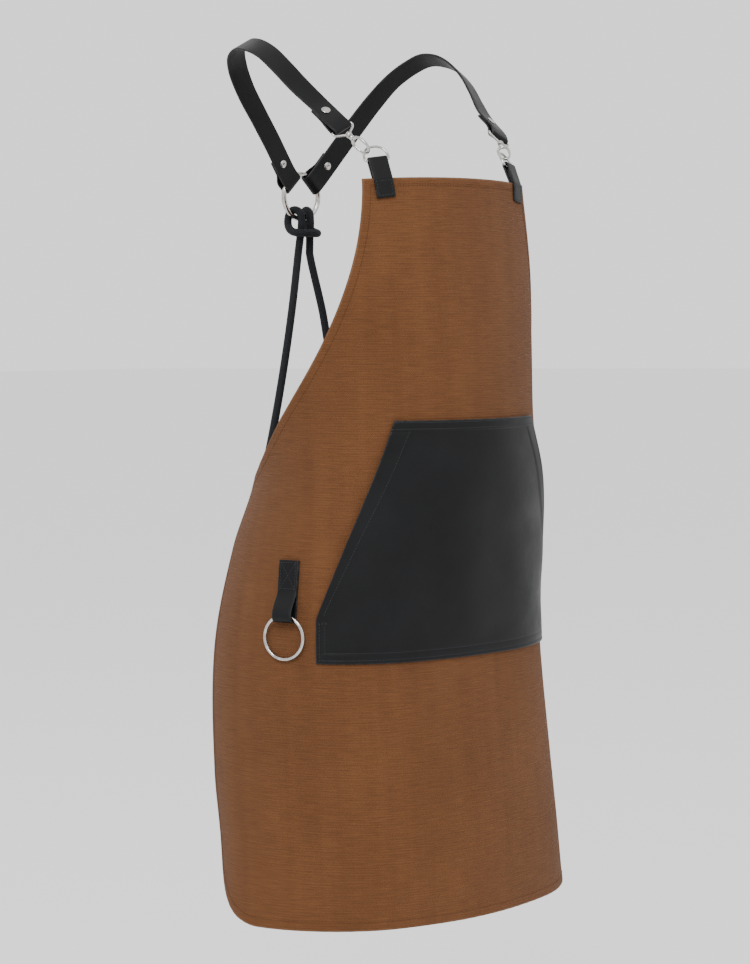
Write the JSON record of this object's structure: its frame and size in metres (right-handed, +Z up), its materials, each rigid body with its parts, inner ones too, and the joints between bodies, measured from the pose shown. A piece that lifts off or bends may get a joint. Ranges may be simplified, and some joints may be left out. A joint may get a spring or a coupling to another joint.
{
  "type": "canvas bib apron",
  "caption": "Crossback bib apron in canvas with a leather kangaroo pocket, leather straps on swivel hooks, a back ring with a tie cord and a towel ring at the hip.",
  "frame": {"origin": "midway between the undersides of the two strap tops, where the apron sits on the shoulders", "axes": "+Z up, -Y towards the front, +X towards the wearer's left"},
  "size_m": [0.4458, 0.3184, 0.9502],
  "materials": {
    "canvas": "matte brown duck canvas",
    "leather": "soft satin black leather",
    "nickel": "polished nickel plate",
    "cord": "black braided cord"
  },
  "bodies": {
    "apron": {"apron_panel": "canvas", "pocket": "leather", "bib_tab_right": "leather", "bib_tab_left": "leather", "strap_right": "leather", "strap_left": "leather", "side_patch_right": "leather", "side_patch_left": "leather", "hip_loop": "leather", "d_ring_right": "nickel", "d_ring_left": "nickel", "hook_body_right": "nickel", "hook_body_left": "nickel", "hook_eye_right": "nickel", "hook_eye_left": "nickel", "rivet_right_front": "nickel", "rivet_right_back": "nickel", "rivet_left_front": "nickel", "rivet_left_back": "nickel", "back_ring": "nickel", "cord_knot": "cord", "cord_leg_right": "cord", "cord_leg_left": "cord"},
    "right_gate": {"hook_gate_right": "nickel"},
    "left_gate": {"hook_gate_left": "nickel"},
    "towel_ring": {"hip_ring": "nickel"}
  },
  "joints": [
    {"name": "right_gate_hinge", "type": "hinge", "parent": "apron", "child": "right_gate", "pos_m": [-0.1089, -0.15424, -0.11427], "axis": [-0.9331, -0.2652, -0.243], "range_deg": [0, 25], "stiffness_Nm_per_rad": 0.005, "springref_deg": -11.46},
    {"name": "left_gate_hinge", "type": "hinge", "parent": "apron", "child": "left_gate", "pos_m": [0.10486, -0.15441, -0.1118], "axis": [-0.6047, -0.3557, 0.7126], "range_deg": [0, 25], "stiffness_Nm_per_rad": 0.005, "springref_deg": -11.46},
    {"name": "towel_ring_swing", "type": "hinge", "parent": "apron", "child": "towel_ring", "pos_m": [-0.18477, -0.12719, -0.61414], "axis": [-0.3424, 0.9395, 0], "range_deg": [0, 60]}
  ]
}
